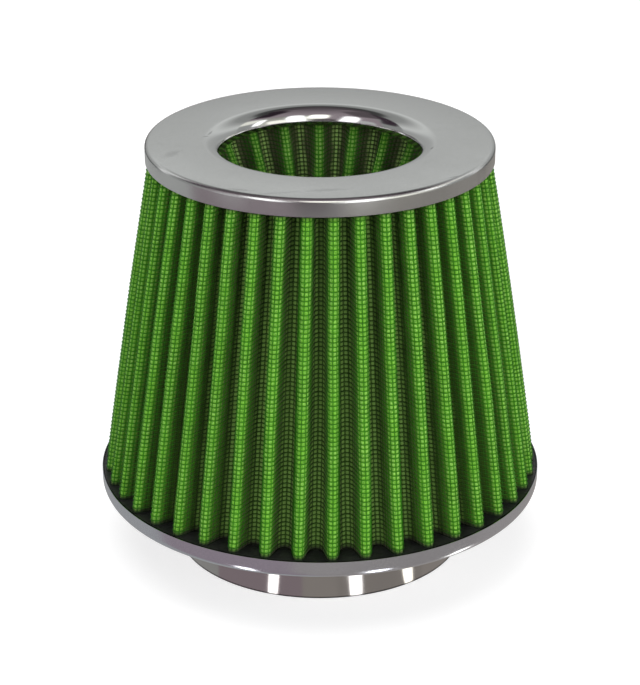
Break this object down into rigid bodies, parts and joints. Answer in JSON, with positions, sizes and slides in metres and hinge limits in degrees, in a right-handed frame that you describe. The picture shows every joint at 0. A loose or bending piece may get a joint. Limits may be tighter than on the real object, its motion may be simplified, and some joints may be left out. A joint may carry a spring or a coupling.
{
  "type": "performance air filter",
  "caption": "Open-mouth conical intake air filter: pleated gauze cone with an inverted inner cone, pressed metal cap and base pan, and a clamp-on neck.",
  "frame": {"origin": "centre of the neck's lower end, on the plane that the filter stands on", "axes": "+Z along the filter's axis, up from the neck to the open mouth; -Y is the side that the picture shows"},
  "size_m": [0.1522, 0.1522, 0.1455],
  "materials": {
    "cap_chrome": "satin plated face with faint rub marks, polished curled lip",
    "pan_chrome": "plated, satin band and mirror-polished neck",
    "black_resin": "black potting resin, slightly glossy",
    "front_screen": "fine woven wire screen, dark with a green cast",
    "green_gauze": "oiled green cotton gauze",
    "back_screen": "fine woven wire screen, bare metal",
    "seam_metal": "plain folded strip"
  },
  "bodies": {
    "root": {"top_cap": "cap_chrome", "top_resin": "black_resin", "outer_screen": "front_screen", "outer_gauze": "green_gauze", "outer_back_screen": "back_screen", "outer_seam_strip": "seam_metal", "inner_screen": "front_screen", "inner_gauze": "green_gauze", "inner_back_screen": "back_screen", "inner_seam_strip": "seam_metal", "cone_dish": "pan_chrome", "dish_resin": "black_resin", "base_resin": "black_resin", "base_pan": "pan_chrome"}
  },
  "joints": []
}
